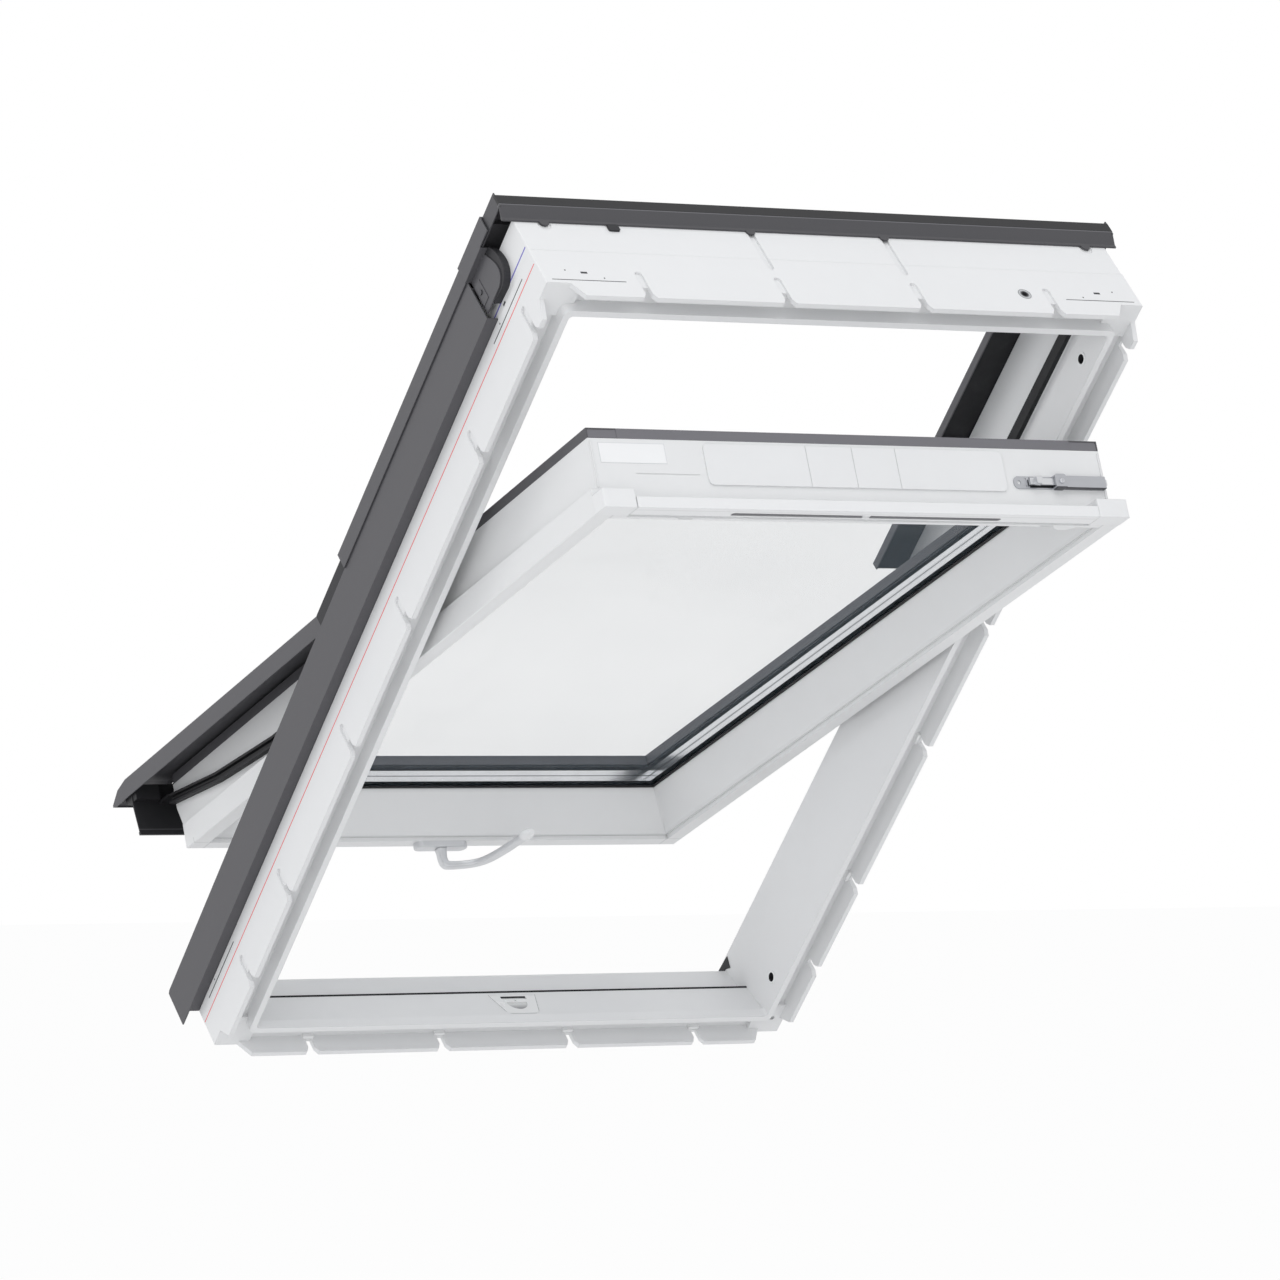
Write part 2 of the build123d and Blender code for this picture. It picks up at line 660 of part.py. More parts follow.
# Opening sash, modelled shut
sash_profile = [
    (sash_bottom, sash_room_depth),
    (sash_bottom, 44.5),
    (26, 58),
    (15.5, 85),
    (15.5, body_outside),
    (body_top, body_outside),
    (body_top, sash_room_depth),
]
reveal_line = sash_top - reveal_top
with BuildPart() as sash_body:
    prism(across(-body_half), sash_profile, 2 * body_half)
    block(
        -sash_half, sash_half, sash_bottom, body_top,
        sash_room_depth, sash_room_depth + flange_depth,
    )
    face = sash_room_depth
    block(
        -(sash_half - reveal_face), sash_half - reveal_face, sash_bottom + reveal_face,
        reveal_line + 2.3, face - 1, face + reveal_step_depth, Mode.SUBTRACT,
    )
    block(
        -(sash_half - reveal_step), sash_half - reveal_step, sash_bottom + reveal_step,
        reveal_line, face - 1, face + reveal_start_depth, Mode.SUBTRACT,
    )
    with BuildSketch(Plane.XY.offset(face + reveal_start_depth)) as reveal_near:
        with Locations((0, (sash_bottom + reveal_step + reveal_line) / 2)):
            Rectangle(
                2 * (sash_half - reveal_step), reveal_line - sash_bottom - reveal_step
            )
    with BuildSketch(Plane.XY.offset(shelf_depth)) as reveal_far:
        with Locations((0, (reveal_bottom + reveal_head - 12) / 2)):
            Rectangle(2 * reveal_half, reveal_head - 12 - reveal_bottom)
    loft(sections=[reveal_near.sketch, reveal_far.sketch], mode=Mode.SUBTRACT)
    block(
        -rebate_half, rebate_half, rebate_bottom, rebate_top, shelf_depth, body_outside + 1,
        Mode.SUBTRACT,
    )
    # moulded end ribs, the line below the vent panel, and two small slots
    for side in (1, -1):
        block(side * 331, side * 333, body_top - 1, body_top + 1.2, 57, 112)
    block(200, 281, body_top - 0.6, body_top + 1, 74, 75, Mode.SUBTRACT)
    for place in (226, -247):
        block(place - 9, place + 9, body_top - 7.5, body_top - 5, face - 1, face + 3, Mode.SUBTRACT)
    # rounded tab over the reveal in one upper corner
    with BuildSketch(Plane.XY.offset(face + 2.6)) as corner_tab:
        with Locations((-277.5, reveal_line + 3)):
            Circle(16)
            Rectangle(34, 18, align=(Align.CENTER, Align.MIN), mode=Mode.SUBTRACT)
    extrude(corner_tab.sketch, amount=2.3)
    long_edges = sash_body.edges().filter_by(
        lambda e: e.length > 600 and abs(e.center().Z - face) < 0.1
        and (abs(e.center().X) > sash_half - 0.5 or e.center().Y < sash_bottom + 0.5)
    )
    fillet(long_edges, 1.2)
    block(-301.4, 301.4, body_top - 3.6, body_top + 1, face - 1, face + 14, Mode.SUBTRACT)
keep(sash_body, "sash_body", swings=True)

pane_half = rebate_half - pane_play
pane_low = rebate_bottom + pane_play
pane_high = rebate_top - pane_play
inner_pane_at = shelf_depth + 2.4
outer_pane_at = inner_pane_at + pane_thickness + pane_gap
glass = (pane_half, pane_low, pane_high)
seen_head = reveal_head - 12
with BuildPart() as inner_gasket:
    ring(
        (rebate_half, rebate_bottom, rebate_top),
        (reveal_half - bedding_show, reveal_bottom + bedding_show, seen_head - bedding_show),
        shelf_depth, inner_pane_at,
    )
keep(inner_gasket, "inner_glazing_gasket", swings=True)

for name, at in (("inner_pane", inner_pane_at), ("outer_pane", outer_pane_at)):
    with BuildPart() as pane:
        block(-pane_half, pane_half, pane_low, pane_high, at, at + pane_thickness)
    keep(pane, name, swings=True)

bar_half = reveal_half + 2
with BuildPart() as spacer:
    ring(
        (bar_half, reveal_bottom - 2, seen_head + 2),
        (reveal_half - spacer_show, reveal_bottom + spacer_show, seen_head - spacer_show),
        inner_pane_at + pane_thickness, outer_pane_at,
    )
keep(spacer, "glazing_spacer", swings=True)

with BuildPart() as edge_seal:
    ring(
        glass, (bar_half, reveal_bottom - 2, seen_head + 2),
        inner_pane_at + pane_thickness, outer_pane_at,
    )
keep(edge_seal, "glazing_edge_seal", swings=True)

outer_glass = outer_pane_at + pane_thickness
edge_half = reveal_half - glass_edge_show
edge_low = reveal_bottom + glass_edge_show
edge_high = seen_head - glass_edge_show
with BuildPart() as outer_gasket:
    ring(
        (rebate_half - 1, rebate_bottom + 1, rebate_top - 1), (edge_half + 1, edge_low - 1, edge_high + 1),
        outer_glass, body_outside,
    )
keep(outer_gasket, "outer_glazing_gasket", swings=True)

top_of = sash_cladding_depth
for hand, side in (("left", 1), ("right", -1)):
    with BuildPart() as sash_cladding:
        block(side * edge_half, side * body_half, 17, body_top, top_of - sheet, top_of)
        block(side * edge_half, side * (edge_half + sheet), edge_low, edge_high, body_outside, top_of)
        block(side * (body_half - sheet), side * body_half, 17, body_top, body_outside, top_of)
    keep(sash_cladding, f"sash_cladding_{hand}", swings=True)

    cover_top = lower_cladding_depth
    with BuildPart() as lower_cover:
        nose = lower_cladding_nose
        outline = [
            (lower_cladding_end, cover_top), (-18, cover_top), (-42, cover_top - 5.5),
            (-nose, cover_top - 18.5), (-nose, lower_cladding_lip + 1.5), (-nose + 8, lower_cladding_lip),
            (lower_cladding_end, lower_cladding_lip),
        ]
        prism(across(side * 321), outline, side * (lower_cladding_half - 321))
        hollow = [
            (lower_cladding_end - sheet, cover_top - sheet), (-18.2, cover_top - sheet),
            (-41.4, cover_top - 6.8), (-nose + sheet, cover_top - 19), (-nose + sheet, 100),
            (lower_cladding_end - sheet, 100),
        ]
        prism(across(side * (321 + sheet)), hollow, side * (lower_cladding_half - 321 - 2 * sheet),
              Mode.SUBTRACT)
        block(side * 320, side * (body_half + 0.8), -12, lower_cladding_end + 1, 100, top_of, Mode.SUBTRACT)
        block(side * 320, side * 344.9, -nose - 1, -12, 100, 113, Mode.SUBTRACT)
        block(side * 320, side * 324, -14.6, -11.9, 112, 126.1, Mode.SUBTRACT)
        block(side * 330, side * (lower_cladding_half - 6), lower_cladding_end - 3,
              lower_cladding_end + 1, 100, 119, Mode.SUBTRACT)
    keep(lower_cover, f"sash_lower_cover_{hand}", swings=True)

    with BuildPart() as side_gasket:
        run = [(16.5, 96), (0.24 * pivot_height, 77.5), (0.5 * pivot_height, 65.5),
               (pivot_height - 55, 63.6)]
        for low_edge, high_edge, proud in ((-6, 6.4, 3), (-6, -3, 9), (3.4, 6.4, 9), (-0.8, 1.4, 5.5)):
            line = [(y, z + low_edge) for y, z in run] + [(y, z + high_edge) for y, z in run[::-1]]
            prism(across(side * body_half), line, side * proud)
    keep(side_gasket, f"side_gasket_{hand}", swings=True)

    with BuildPart() as hinge_sash:
        half_plate = hinge_plate_length / 2
        block(
            side * body_half, side * (body_half + hinge_plate_thickness),
            pivot_height - half_plate, pivot_height + half_plate, hinge_plate_bottom + 12, body_outside,
        )
        block(
            side * body_half, side * (body_half + hinge_plate_thickness),
            pivot_height - hinge_lug_radius, pivot_height + hinge_lug_radius, body_outside - 1, pivot_depth,
        )
        disc(across(side * body_half), (pivot_height, pivot_depth), hinge_lug_radius, side * 13)
        disc(
            across(side * (body_half - 1)), (pivot_height, pivot_depth),
            pivot_pin_radius + pivot_running_gap, side * 16, Mode.SUBTRACT,
        )
        fillet(hinge_sash.edges().filter_by(Axis.X).group_by(Axis.Z)[0], 6)
    keep(hinge_sash, f"hinge_sash_{hand}", swings=True)

    with BuildPart() as vent_end:
        block(side * 301.4, side * sash_half, body_top, sash_top, face, face + 22)
        fillet(vent_end.edges().filter_by(Axis.Z).group_by(Axis.Y)[-1], 2)
        disc(across(side * 301), (body_top + 3.7, face + 6.5), 2.55, side * 7, Mode.SUBTRACT)
    keep(vent_end, f"vent_end_{hand}", swings=True)

with BuildPart() as cladding_top:
    block(-(edge_half - 0.3), edge_half - 0.3, edge_high, body_top, top_of - sheet, top_of)
    block(-(edge_half - 0.3), edge_half - 0.3, edge_high, edge_high + sheet, body_outside, top_of)
    block(-(edge_half - 0.3), edge_half - 0.3, body_top - sheet, body_top, body_outside, top_of)
keep(cladding_top, "sash_cladding_top", swings=True)

with BuildPart() as cladding_bottom:
    hood = [
        (16.5, top_of), (-18, top_of), (-42, top_of - 5), (-52, top_of - 12),
        (-52, top_of - 14.2), (-41.6, top_of - 6.5), (-18.2, top_of - sheet), (16.5, top_of - sheet),
    ]
    prism(across(-320), hood, 640)
    inside_half = edge_half - 0.3
    block(-inside_half, inside_half, 16, edge_low, top_of - sheet, top_of)
    block(-inside_half, inside_half, edge_low - sheet, edge_low, body_outside, top_of)
    block(-inside_half, inside_half, 15.5, 15.5 + sheet, body_outside, top_of)
keep(cladding_bottom, "sash_cladding_bottom", swings=True)

with BuildPart() as skirt:
    skirt_half = lower_cladding_half - 3
    prism(
        across(-skirt_half),
        [(-4.5, 58.5), (-6.5, 58.5), (-14.5, 103.5), (-14.5, 126), (-12, 126), (-12, 103.5)],
        2 * skirt_half,
    )
    prism(across(-skirt_half), [(-6.3, 58.5), (-8.3, 58.5), (-9, 62.5), (-7, 62.5)], 2 * skirt_half)
    for side in (1, -1):
        # stepped end block under the side cover
        block(side * (body_half + 10.6), side * (skirt_half - 1), -13, -2, 103.5, 122)
        block(side * (body_half + 22), side * (skirt_half - 1), -32, -12, 106, 119)
    arm_half = body_half + 9.5
    block(-arm_half, arm_half, -13, 15.5, 100, 103.5)
keep(skirt, "bottom_skirt", swings=True)

with BuildPart() as vent_panel:
    with BuildSketch(upslope(body_top)) as panel:
        with Locations((-4.5, -87)):
            RectangleRounded(391, 49, 7)
    extrude(panel.sketch, amount=2.2)
    for place in (59, -1, -58):
        block(place - 0.5, place + 0.5, body_top + 1.4, body_top + 3, 60, 113, Mode.SUBTRACT)
keep(vent_panel, "vent_panel", swings=True)

with BuildPart() as blank_label:
    block(239, 323, body_top, body_top + 0.4, 86.5, 110.5)
keep(blank_label, "blank_label", swings=True)

with BuildPart() as vent_flap:
    flap_axis = (body_top + 3.7, face + 6.5)
    block(-300.8, 300.8, flap_axis[0], sash_top, face, face + 13)
    disc(across(-300.8), flap_axis, 6.5, 601.6)
    disc(across(-305), flap_axis, 2.5, 610)
    with BuildSketch(Plane.XY.offset(face)) as grip:
        with Locations((0, body_top + 9)):
            SlotOverall(352, 8)
    extrude(grip.sketch, amount=6, mode=Mode.SUBTRACT)
    block(-5, 5, body_top + 4.5, body_top + 13.5, face + 1.5, face + 6)
keep(vent_flap, "vent_flap", swings=True)

with BuildPart() as grip_insert:
    with BuildSketch(Plane.XY.offset(face + 0.3)) as lining:
        with Locations((0, body_top + 9)):
            SlotOverall(352, 8)
            SlotOverall(349.6, 5.6, mode=Mode.SUBTRACT)
            Rectangle(10, 20, mode=Mode.SUBTRACT)
    extrude(lining.sketch, amount=5.7)
keep(grip_insert, "grip_insert", swings=True)

bolt_line = (body_top + 6, face + bolt_depth)
with BuildPart() as bolt_guide:
    with BuildSketch(upslope(body_top)) as plate:
        with Locations((-246, -bolt_line[1])):
            RectangleRounded(72, 15, 6.5)
        with Locations((-217, -bolt_line[1])):
            Circle(2.4, mode=Mode.SUBTRACT)
        with Locations((-226, -bolt_line[1] - 4.5), (-226, -bolt_line[1] + 4.5)):
            Circle(1, mode=Mode.SUBTRACT)
    extrude(plate.sketch, amount=1.4)
    # covered channel that the bolt runs in, with a rounded housing at its start
    block(-330.6, -262, body_top, body_top + 7.6, 66.5, 81.5)
    fillet(bolt_guide.edges().filter_by(Axis.X).group_by(Axis.Y)[-1], 1.5)
    with BuildSketch(upslope(body_top)) as housing:
        with Locations((-269, -bolt_line[1])):
            RectangleRounded(15, 17, 3)
    extrude(housing.sketch, amount=9.4)
    disc(upslope(body_top + 9), (-270, -bolt_line[1]), 3.4, 1.4)
    disc(upslope(body_top + 9.6), (-270, -bolt_line[1]), 1.5, 2, Mode.SUBTRACT)
    block(-350, -240, body_top + 2.4, body_top + 7.0 - 0.4, bolt_line[1] - 4.3, bolt_line[1] + 4.3,
          Mode.SUBTRACT)
keep(bolt_guide, "bolt_guide", swings=True)

with BuildPart() as slide_bolt:
    block(-333, -229, body_top + 2.7, body_top + 6.3, bolt_line[1] - 4, bolt_line[1] + 4)
    with BuildSketch(upslope(body_top + 6)) as knob:
        with Locations((-238.5, -bolt_line[1])):
            RectangleRounded(9, 10, 2)
    extrude(knob.sketch, amount=6, taper=6)
    fillet(slide_bolt.edges().filter_by(Axis.Y).group_by(Axis.X)[0], 1.5)
keep(slide_bolt, "slide_bolt", swings=True)

handle_centre = (0, 51.0)
base_front = face - 8
with BuildPart() as handle_base:
    with BuildSketch(Plane.XY.offset(base_front)) as base:
        with Locations(handle_centre):
            SlotOverall(73, 19)
    extrude(base.sketch, amount=8)
    fillet(handle_base.edges().group_by(Axis.Z)[0], 2)
    disc(Plane.XY.offset(base_front - 1), handle_centre, 4.05, 7, Mode.SUBTRACT)
keep(handle_base, "handle_base", swings=True)

arm_middle = base_front - handle_stand + 6.5
with BuildPart() as handle_lever:
    disc(Plane.XY.offset(arm_middle - 4), handle_centre, 7, base_front - arm_middle + 3.7)
    disc(Plane.XY.offset(base_front - 1), handle_centre, 4.0, 6.5)
    with BuildLine() as arm_line:
        Spline(
            (0, 51, arm_middle), (-28, 54.5, arm_middle), (-49, 74, arm_middle),
            (-57, 110, arm_middle), (-59, 157, arm_middle), tangents=((-1, 0, 0), (0, 1, 0)),
        )
    with BuildSketch(Plane(origin=arm_line.line @ 0, x_dir=(0, 1, 0), z_dir=arm_line.line % 0)):
        RectangleRounded(12.5, 8, 3)
    sweep(path=arm_line.line)
keep(handle_lever, "handle_lever", swings=True)

with BuildPart() as handle_grip:
    with BuildSketch(Plane.XZ.offset(-157)) as collar:
        with Locations((-59, arm_middle)):
            Ellipse(7.6, 5.6)
    with BuildSketch(Plane.XZ.offset(-170)) as shoulder:
        with Locations((-59, arm_middle)):
            Ellipse(7.0, 5.2)
    with BuildSketch(Plane.XZ.offset(-176)) as tip:
        with Locations((-59, arm_middle)):
            Ellipse(3.4, 2.6)
    loft(sections=[collar.sketch, shoulder.sketch, tip.sketch])
keep(handle_grip, "handle_grip", swings=True)
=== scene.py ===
# A centre-pivot roof window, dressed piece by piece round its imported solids: the moulded
# frame, the claddings, the sash with its glass, and the fittings.
from math import cos, pi, radians, sin

import bmesh
import bpy
from mathutils import Matrix, Vector


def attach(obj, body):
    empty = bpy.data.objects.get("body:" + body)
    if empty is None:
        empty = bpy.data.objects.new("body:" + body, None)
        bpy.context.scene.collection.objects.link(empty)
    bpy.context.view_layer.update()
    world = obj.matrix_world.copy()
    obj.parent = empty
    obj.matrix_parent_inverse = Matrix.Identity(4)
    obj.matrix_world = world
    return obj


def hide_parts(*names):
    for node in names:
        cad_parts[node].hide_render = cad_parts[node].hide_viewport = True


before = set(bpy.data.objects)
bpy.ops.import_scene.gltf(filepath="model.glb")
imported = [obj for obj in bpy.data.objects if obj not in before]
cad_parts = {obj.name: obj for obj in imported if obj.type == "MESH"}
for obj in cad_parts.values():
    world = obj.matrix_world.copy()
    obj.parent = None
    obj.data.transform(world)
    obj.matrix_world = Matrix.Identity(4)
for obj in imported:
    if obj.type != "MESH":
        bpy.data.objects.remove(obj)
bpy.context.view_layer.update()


# Moulded frame. A laminated timber core foamed all round in white polyurethane, in one shot.
# Its skin is satin, with a faint orange peel from the mould, and softly rounded edges. The
# setting-out lines and fixing marks are printed on its outer faces before it is packed.
PITCH = radians(46.7)
BATTEN_LINE = 0.036
FRAME_AXES = Matrix.Rotation(PITCH, 4, "X") @ Matrix.Translation((0, 0, -BATTEN_LINE))
FRAME_HALF = 0.390
FRAME_TOP = 1.178
RED_LINE = 0.0360
BLUE_LINE = 0.0645
# each place is up the slope or across, then outwards
BOLT_SOCKETS = ((1.087, 0.0115), (0.084, 0.0120))
CABLE_HOLE = (-0.235, 0.013)


class Value:
    """A shader socket that takes part in sums."""

    def __init__(self, finish, socket):
        self.finish = finish
        self.socket = socket

    def sum_of(self, operation, *parts, **more):
        settings = {"operation": operation, **more}
        return self.finish.node("ShaderNodeMath", settings, dict(enumerate(parts)))

    def __add__(self, other):
        return self.sum_of("ADD", self, other)

    def __radd__(self, other):
        return self.sum_of("ADD", other, self)

    def __sub__(self, other):
        return self.sum_of("SUBTRACT", self, other)

    def __rsub__(self, other):
        return self.sum_of("SUBTRACT", other, self)

    def __mul__(self, other):
        return self.sum_of("MULTIPLY", self, other)

    def __gt__(self, other):
        return self.sum_of("GREATER_THAN", self, other)

    def __lt__(self, other):
        return self.sum_of("LESS_THAN", self, other)

    def __abs__(self):
        return self.sum_of("ABSOLUTE", self)

    def __pow__(self, other):
        return self.sum_of("POWER", self, other)

    def clamp(self):
        return self.sum_of("ADD", self, 0.0, use_clamp=True)

    def wave(self):
        return self.sum_of("SINE", self)

    def between(self, low, high):
        return (self > low) * (self < high)

    def near(self, middle, half):
        return abs(self - middle) < half


class Finish:
    """One material, made of nodes round a Principled shader."""

    def __init__(self, name, **sockets):
        self.material = bpy.data.materials.new(name)
        self.material.use_nodes = True
        self.tree = self.material.node_tree
        self.shader = self.tree.nodes["Principled BSDF"]
        self.skin = None
        for socket, value in sockets.items():
            self.shader.inputs[socket.replace("_", " ")].default_value = value

    def node(self, kind, settings=None, sockets=None, output=0):
        made = self.tree.nodes.new(kind)
        for key, value in (settings or {}).items():
            setattr(made, key, value)
        for key, value in (sockets or {}).items():
            if isinstance(value, Value):
                self.tree.links.new(value.socket, made.inputs[key])
            else:
                made.inputs[key].default_value = value
        if isinstance(output, tuple):
            return tuple(Value(self, made.outputs[each]) for each in output)
        return Value(self, made.outputs[output])

    def feed(self, socket, value):
        self.tree.links.new(value.socket, self.shader.inputs[socket])

    def colour(self, value):
        self.skin = value
        self.feed("Base Color", value)

    def paint(self, mask, tint):
        """Lays another colour over the skin where the mask is one."""
        self.colour(self.mix(mask, self.skin, tint))

    def place(self):
        """Position on the object, in metres."""
        return self.node("ShaderNodeTexCoord", output="Object")

    def noise(self, scale, detail=3.0, rough=0.55, place=None):
        return self.node(
            "ShaderNodeTexNoise", {},
            {"Vector": place or self.place(), "Scale": scale, "Detail": detail, "Roughness": rough},
        )

    def mix(self, factor, first, second):
        """Colour between two others."""
        return self.node(
            "ShaderNodeMix", {"data_type": "RGBA"}, {0: factor, 6: first, 7: second}, output=2
        )

    def bump(self, height, strength, distance=0.001, edge=0.0):
        """Relief from a height, over edges that are rounded by the given radius."""
        sockets = {"Height": height, "Strength": strength, "Distance": distance}
        if edge:
            sockets["Normal"] = self.node("ShaderNodeBevel", {"samples": 4}, {"Radius": edge})
        self.feed("Normal", self.node("ShaderNodeBump", {}, sockets))

    def along(self, angle, shift=(0.0, 0.0)):
        """Position along a board's own axes: across, up the slope and outwards."""
        turned = self.node(
            "ShaderNodeVectorRotate", {"rotation_type": "X_AXIS"},
            {"Vector": self.place(), "Angle": -angle},
        )
        x, y, z = self.node("ShaderNodeSeparateXYZ", {}, {0: turned}, output=(0, 1, 2))
        return x, y + shift[0], z + shift[1]

    def facing(self, angle):
        """How far the surface looks along each of a board's own axes."""
        normal = self.node("ShaderNodeNewGeometry", output="True Normal")
        object_normal = self.node(
            "ShaderNodeVectorTransform",
            {"vector_type": "NORMAL", "convert_from": "WORLD", "convert_to": "OBJECT"}, {0: normal},
        )
        turned = self.node(
            "ShaderNodeVectorRotate", {"rotation_type": "X_AXIS"},
            {"Vector": object_normal, "Angle": -angle},
        )
        return self.node("ShaderNodeSeparateXYZ", {}, {0: turned}, output=(0, 1, 2))


def rgb(red, green, blue):
    return (red, green, blue, 1.0)


def shade(tint, share, lift=0.0):
    """The same tint, darker or paler."""
    return rgb(*(min(1.0, share * part + lift) for part in tint[:3]))


def spot(a, b, middle, radius):
    """Mask that is one inside a round spot."""
    return ((a - middle[0]) ** 2.0 + (b - middle[1]) ** 2.0) < radius**2


def coat(finish, *names):
    """Gives the frame's pieces of these names this finish."""
    for name in names:
        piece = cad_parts[name]
        if not piece.material_slots:
            piece.data.materials.append(finish.material)
        for slot in piece.material_slots:
            slot.material = finish.material


def moulded_white(name, tint, roughness, edge=0.0009, peel=0.10):
    """Satin white moulded skin, with faint clouding and orange peel."""
    finish = Finish(name, Roughness=roughness, IOR=1.46)
    cloud = finish.noise(7.0, 4.0)
    smudge = finish.noise(34.0, 5.0, 0.65)
    fine = finish.noise(950.0, 2.0)
    finish.colour(finish.mix((cloud * 0.7 + smudge * 0.5 - 0.32).clamp(), tint, shade(tint, 0.952)))
    finish.feed("Roughness", roughness + (smudge - 0.5) * 0.14 + (cloud - 0.5) * 0.06)
    finish.bump(fine + cloud * 0.3, peel, 0.0004, edge)
    return finish


WHITE = rgb(0.80, 0.805, 0.81)
RED = rgb(0.80, 0.16, 0.17)
BLUE = rgb(0.16, 0.15, 0.52)
INK = rgb(0.035, 0.035, 0.04)
frame_white = moulded_white("moulded frame white", WHITE, 0.42)
x, y, z = frame_white.along(PITCH, (0.0, BATTEN_LINE))
nx, ny, nz = frame_white.facing(PITCH)
side = abs(x)

# painted shade: the faces that look into the room are tinted a little darker
frame_white.paint((nz < -0.9) * 0.25, rgb(0.76, 0.765, 0.765))

# red line level with the battens, blue line for the flashing
outer_side = (abs(nx) > 0.8) * (side > FRAME_HALF - 0.002)
frame_white.paint(outer_side * z.near(RED_LINE, 0.00085) * y.between(0.002, 1.174), RED)
frame_white.paint(outer_side * z.near(BLUE_LINE, 0.0011) * y.between(-0.004, 1.174), BLUE)

# fixing marks on the jambs
fixing = (
    z.near(0.0450, 0.0008) * y.between(1.052, 1.145)
    + z.near(0.0480, 0.0008) * y.between(0.031, 0.125)
    + z.near(0.0580, 0.0017) * y.near(1.0990, 0.0032)
    + z.near(0.0610, 0.0017) * y.near(0.0780, 0.0032)
    + spot(y, z, (1.077, 0.050), 0.001095)
    + spot(y, z, (0.057, 0.053), 0.001095)
)
frame_white.paint((outer_side * fixing).clamp(), INK)

# the same marks at both ends of the head
head_face = (ny > 0.8) * (y > FRAME_TOP - 0.004)
head_marks = (
    z.near(0.0060, 0.0006) * side.between(0.2880, 0.3810)
    + z.near(0.0192, 0.0016) * side.near(0.3360, 0.0042)
    + spot(side, z, (0.3585, 0.0225), 0.001049)
    + spot(side, z, (0.3135, 0.0110), 0.001049)
)
frame_white.paint((head_face * head_marks).clamp(), INK)

# shadowed insides of the bolt's two sockets and of the cable hole
upper_socket, lower_socket = (spot(y, z, place, 0.006481) for place in BOLT_SOCKETS)
sockets = side.between(0.3545, 0.3715) * (upper_socket + lower_socket)
cable_hole = (y > 1.130) * spot(x, z, CABLE_HOLE, 0.005657)
frame_white.paint((sockets * (x < 0.0) + cable_hole).clamp(), rgb(0.03, 0.03, 0.03))
coat(frame_white, "frame_body")


# Bolt sockets and lining clips. Hard white mouldings pressed into the frame: a collared
# bush for the bolt at two heights, and a small clip behind each notch for the lining.
bush_white = moulded_white("moulded bush white", rgb(0.83, 0.84, 0.84), 0.28, 0.0004, 0.04)
x, y, z = bush_white.along(PITCH, (0.0, BATTEN_LINE))
for place in BOLT_SOCKETS:
    # the bore is in shadow
    bush_white.paint(spot(y, z, place, 0.005745), rgb(0.035, 0.035, 0.038))
coat(bush_white, "bolt_bush_upper", "bolt_bush_lower")
clip_white = moulded_white("moulded clip white", rgb(0.88, 0.885, 0.885), 0.24, 0.0004, 0.03)
coat(clip_white, "lining_clips")


# Cable grommet. A soft grey rubber ring in a counterbore in the head, with painted shade in the
# middle where the blind's cable goes through.
def rubber(name, tint, roughness=0.62, rib=0.0):
    """Extruded rubber with a faint dusty bloom, and fine ribs along it."""
    finish = Finish(name, Roughness=roughness, IOR=1.5, Specular_IOR_Level=0.22)
    dust = finish.noise(60.0, 5.0, 0.7)
    grain = finish.noise(1400.0, 2.0)
    finish.colour(finish.mix((dust - 0.45).clamp() * 1.2, tint, shade(tint, 1.9, 0.015)))
    finish.feed("Roughness", roughness + (dust - 0.5) * 0.2)
    if rib:
        x, y, z = finish.along(PITCH)
        grain = grain * 0.4 + ((x + z) * (2 * pi / rib)).wave() * 0.5
    finish.bump(grain, 0.14, 0.0003)
    return finish


grommet_grey = rubber("grommet rubber", rgb(0.33, 0.335, 0.345), 0.50)
x, y, z = grommet_grey.along(PITCH, (0.0, BATTEN_LINE))
from_middle = ((x - CABLE_HOLE[0]) ** 2.0 + (z - CABLE_HOLE[1]) ** 2.0) ** 0.5
# painted shade in the hole in the middle
grommet_grey.paint(from_middle < 0.0048, rgb(0.05, 0.05, 0.055))
# painted highlight: a thin pale ring on the grommet's rounded lip
grommet_grey.paint(from_middle.near(0.0066, 0.0005), rgb(0.60, 0.61, 0.62))
coat(grommet_grey, "cable_grommet")


# Striker plate. A hard white moulding shaped like a shield, let into the sill, with a slot
# for the handle's hook, a dished hollow for the finger and one screw.
striker_white = moulded_white("moulded striker white", rgb(0.84, 0.845, 0.845), 0.26, 0.0005, 0.03)
x, y, z = striker_white.along(PITCH, (0.0, BATTEN_LINE))
STRIKER_MIDDLE = -0.0165
HOLLOW_RADIUS = 0.01389
off = abs(x - STRIKER_MIDDLE)
# painted shade in the slot for the hook and in the hollow, and a fine painted shadow round the shield's
# edge
striker_white.paint(z.between(0.0325, 0.0375) * (off < 0.0172), rgb(0.05, 0.05, 0.055))
hollow = spot(x, z, (STRIKER_MIDDLE, 0.0256), HOLLOW_RADIUS)
striker_white.paint(hollow * ((0.0266 - z) * 70.0).clamp(), rgb(0.20, 0.20, 0.21))
striker_white.paint((off > z * 0.29 + 0.0203) * 0.8, rgb(0.25, 0.26, 0.27))
# painted shade along the shield's narrow end
striker_white.paint((z < 0.0030) * 0.6, rgb(0.35, 0.36, 0.37))
coat(striker_white, "striker_plate")


# Frame seals. Black rubber strips pushed into grooves in the frame. They are bulbs with a
# thin lip, so their surface shows fine lines along them.
seal_black = rubber("frame seal rubber", rgb(0.020, 0.020, 0.022), 0.60, 0.0016)
coat(
    seal_black, "frame_gasket_left", "frame_gasket_right", "frame_gasket_head", "sill_gasket",
    "cover_gasket_left", "cover_gasket_right", "cover_gasket_head",
)


